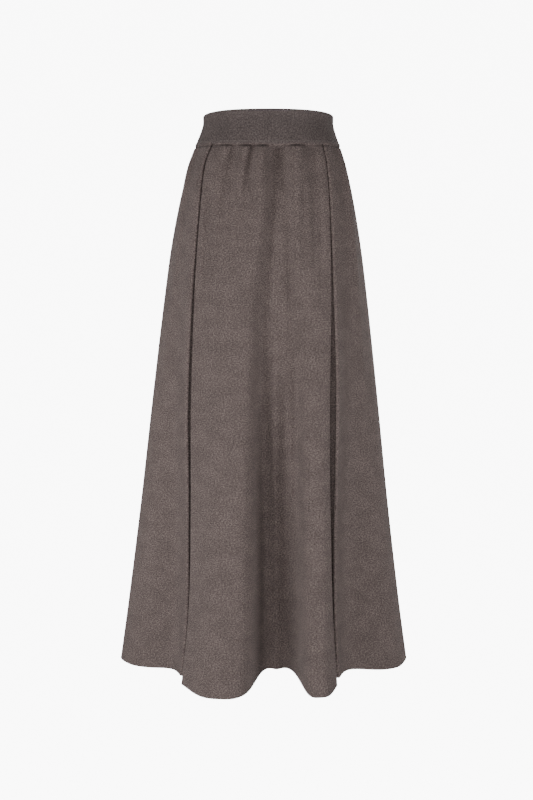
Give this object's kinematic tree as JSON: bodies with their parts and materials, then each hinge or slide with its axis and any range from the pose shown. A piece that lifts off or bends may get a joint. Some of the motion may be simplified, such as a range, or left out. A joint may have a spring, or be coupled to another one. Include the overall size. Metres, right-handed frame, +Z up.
{
  "type": "long pleated A-line knit skirt",
  "caption": "Long A-line knit skirt in its worn, hollow shape, with a wide elastic waistband and inverted pleats at each side of the centre front.",
  "frame": {"origin": "centre of the waist opening, level with the waistband's top edge, where the wearer's waist holds the skirt", "axes": "+Z up along the wearer's body, -Y towards the front with the two pleats, +X to the right as seen from the front"},
  "size_m": [0.4948, 0.391, 0.9315],
  "materials": {
    "skirt_knit": "fine melange knit in a warm grey brown, matt with a soft nap",
    "band_knit": "the same yarn in a denser fine rib, folded double over elastic"
  },
  "bodies": {
    "root": {"waistband": "band_knit", "front_centre": "skirt_knit", "front_side_left": "skirt_knit", "front_side_right": "skirt_knit", "pleat_underlay_left": "skirt_knit", "pleat_underlay_right": "skirt_knit", "back": "skirt_knit"}
  },
  "joints": []
}
